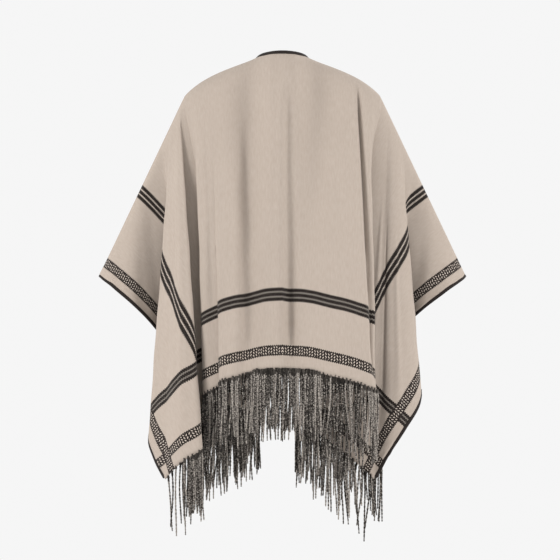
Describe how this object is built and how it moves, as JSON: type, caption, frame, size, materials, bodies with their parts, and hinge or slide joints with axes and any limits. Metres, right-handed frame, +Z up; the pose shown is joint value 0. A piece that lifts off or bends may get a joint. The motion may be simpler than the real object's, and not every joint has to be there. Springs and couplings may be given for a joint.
{
  "type": "fringed woven wool ruana wrap",
  "caption": "Open-front fringed wool wrap in a worn pose, hollow, with striped border bands, dark bound edges and twisted fringe along both hems.",
  "frame": {"origin": "middle of the neck, level with the neck's two side points, where the wrap is held", "axes": "+Z up, +Y the way the wearer faces, +X to the wearer's right"},
  "size_m": [0.8086, 0.3153, 1.0688],
  "materials": {
    "cloth": "brushed wool cloth with dark border bands",
    "binding": "matt woven tape",
    "fringe": "twisted two-colour wool yarn"
  },
  "bodies": {
    "root": {"back_panel": "cloth", "front_panel_left": "cloth", "front_panel_right": "cloth", "neck_binding": "binding", "side_binding_left": "binding", "side_binding_right": "binding", "fringe_back": "fringe", "fringe_front_left": "fringe", "fringe_front_right": "fringe"}
  },
  "joints": []
}
